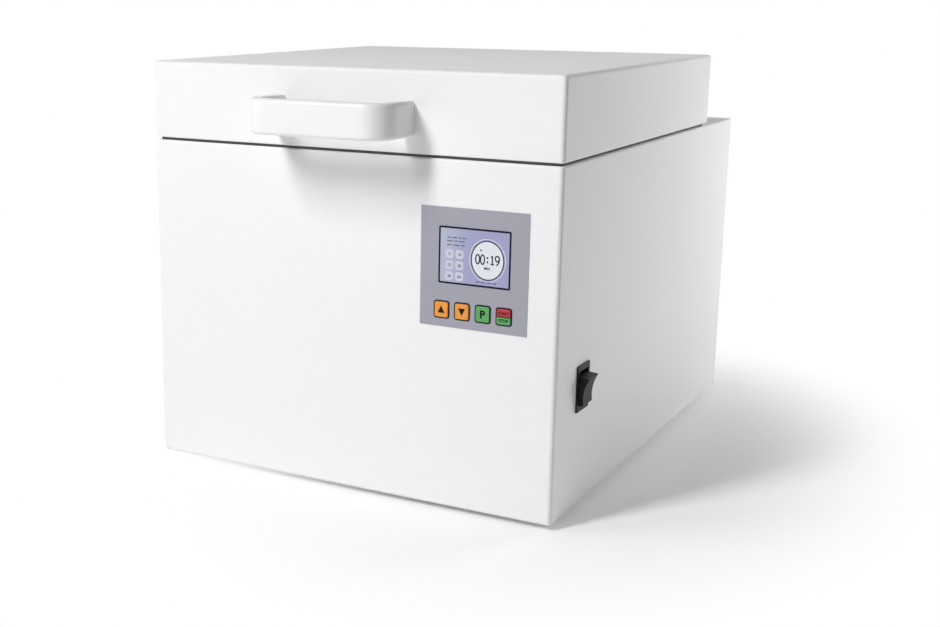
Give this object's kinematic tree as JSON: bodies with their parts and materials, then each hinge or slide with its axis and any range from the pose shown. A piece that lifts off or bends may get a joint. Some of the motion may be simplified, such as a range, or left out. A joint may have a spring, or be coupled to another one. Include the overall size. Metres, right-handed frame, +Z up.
{
  "type": "light curing box",
  "caption": "Bench-top light curing box with a hinged lid over a mirror-lined lamp chamber, a timer panel, a side rocker switch and a rear fan and mains inlet.",
  "frame": {"origin": "middle of the footprint on the table, under the middle of the whole box's outline", "axes": "+Z up, -Y towards the user at the front panel and handle, +X towards the side with the rocker switch"},
  "size_m": [0.4205, 0.5739, 0.3853],
  "materials": {
    "white_paint": "semi-gloss powder coat",
    "zinc_steel": "zinc plated",
    "bright_screws": "zinc plated",
    "mirror_aluminium": "mirror",
    "lamp_glass": "phosphor-coated glass",
    "lamp_plastic": "moulded",
    "clip_plastic": "moulded",
    "clear_glass": "float glass",
    "black_rubber": "matt",
    "handle_plastic": "moulded, semi-gloss",
    "panel_film": "printed film",
    "display_window": "clear window over a lit display",
    "display_metal": "pressed frame",
    "black_plastic": "moulded",
    "orange_key": "printed cap",
    "green_key": "printed cap",
    "red_key": "printed cap, red over green",
    "board_green": "solder mask",
    "plated_wire": "bright plated",
    "brass": "plated",
    "magnet": "nickel plated",
    "ballast_case": "painted sheet",
    "terminal_plastic": "moulded"
  },
  "bodies": {
    "base": {"ballasts": "ballast_case", "base_plate": "zinc_steel", "base_screws": "bright_screws", "board_standoffs": "zinc_steel", "body_shell": "white_paint", "chamber_lamp_bases": "lamp_plastic", "chamber_lamp_clips": "clip_plastic", "chamber_lamp_sockets": "lamp_plastic", "chamber_lamps": "lamp_glass", "control_board": "board_green", "display_module": "display_metal", "display_window": "display_window", "fan_frame": "black_plastic", "fan_guard": "plated_wire", "fan_screws": "bright_screws", "glass_plate": "clear_glass", "glass_posts": "zinc_steel", "hinge_body_leaves": "zinc_steel", "hinge_body_screws": "bright_screws", "hinge_pins": "zinc_steel", "inlet_pins": "brass", "inlet_screws": "bright_screws", "key_frames": "black_plastic", "key_switches": "black_plastic", "lid_sensor": "black_plastic", "lid_stops": "black_rubber", "mains_inlet": "black_plastic", "panel_overlay": "panel_film", "power_supply": "ballast_case", "rear_panel": "white_paint", "rear_screws": "bright_screws", "reflector_tub": "mirror_aluminium", "rim_gasket": "black_rubber", "rubber_feet": "black_rubber", "switch_housing": "black_plastic", "switch_pin": "plated_wire", "switch_terminals": "brass", "terminal_block": "terminal_plastic", "tub_screws": "bright_screws"},
    "lid": {"lid_shell": "white_paint", "lid_reflector": "mirror_aluminium", "lid_screws": "bright_screws", "lid_lamps": "lamp_glass", "lid_lamp_bases": "lamp_plastic", "lid_lamp_sockets": "lamp_plastic", "lid_lamp_clips": "clip_plastic", "lid_handle": "handle_plastic", "handle_screws": "bright_screws", "lid_magnet": "magnet", "hinge_lid_leaves": "zinc_steel", "hinge_lid_screws": "bright_screws"},
    "switch_rocker": {"switch_rocker": "black_plastic"},
    "fan_rotor": {"fan_rotor": "black_plastic"},
    "fuse_drawer": {"fuse_drawer": "black_plastic"},
    "key_up": {"key_up": "orange_key"},
    "key_down": {"key_down": "orange_key"},
    "key_program": {"key_program": "green_key"},
    "key_start_stop": {"key_start_stop": "red_key"}
  },
  "joints": [
    {"name": "lid_hinge", "type": "hinge", "parent": "base", "child": "lid", "pos_m": [-0.0055, 0.18652, 0.316], "axis": [-1, 0, 0], "range_deg": [0, 93]},
    {"name": "power_rocker", "type": "hinge", "parent": "base", "child": "switch_rocker", "pos_m": [0.19624, -0.16798, 0.1135], "axis": [0, -1, 0], "range_deg": [0, 22]},
    {"name": "fan_spin", "type": "hinge", "parent": "base", "child": "fan_rotor", "pos_m": [-0.1005, 0.26803, 0.214], "axis": [0, 1, 0], "continuous": true},
    {"name": "fuse_drawer_slide", "type": "slide", "parent": "base", "child": "fuse_drawer", "axis": [0, 1, 0], "range_m": [0, 0.012]},
    {"name": "key_up_press", "type": "slide", "parent": "base", "child": "key_up", "axis": [0, 1, 0], "range_m": [0, 0.0008], "stiffness_N_per_m": 600},
    {"name": "key_down_press", "type": "slide", "parent": "base", "child": "key_down", "axis": [0, 1, 0], "range_m": [0, 0.0008], "stiffness_N_per_m": 600},
    {"name": "key_program_press", "type": "slide", "parent": "base", "child": "key_program", "axis": [0, 1, 0], "range_m": [0, 0.0008], "stiffness_N_per_m": 600},
    {"name": "key_start_stop_press", "type": "slide", "parent": "base", "child": "key_start_stop", "axis": [0, 1, 0], "range_m": [0, 0.0008], "stiffness_N_per_m": 600}
  ]
}
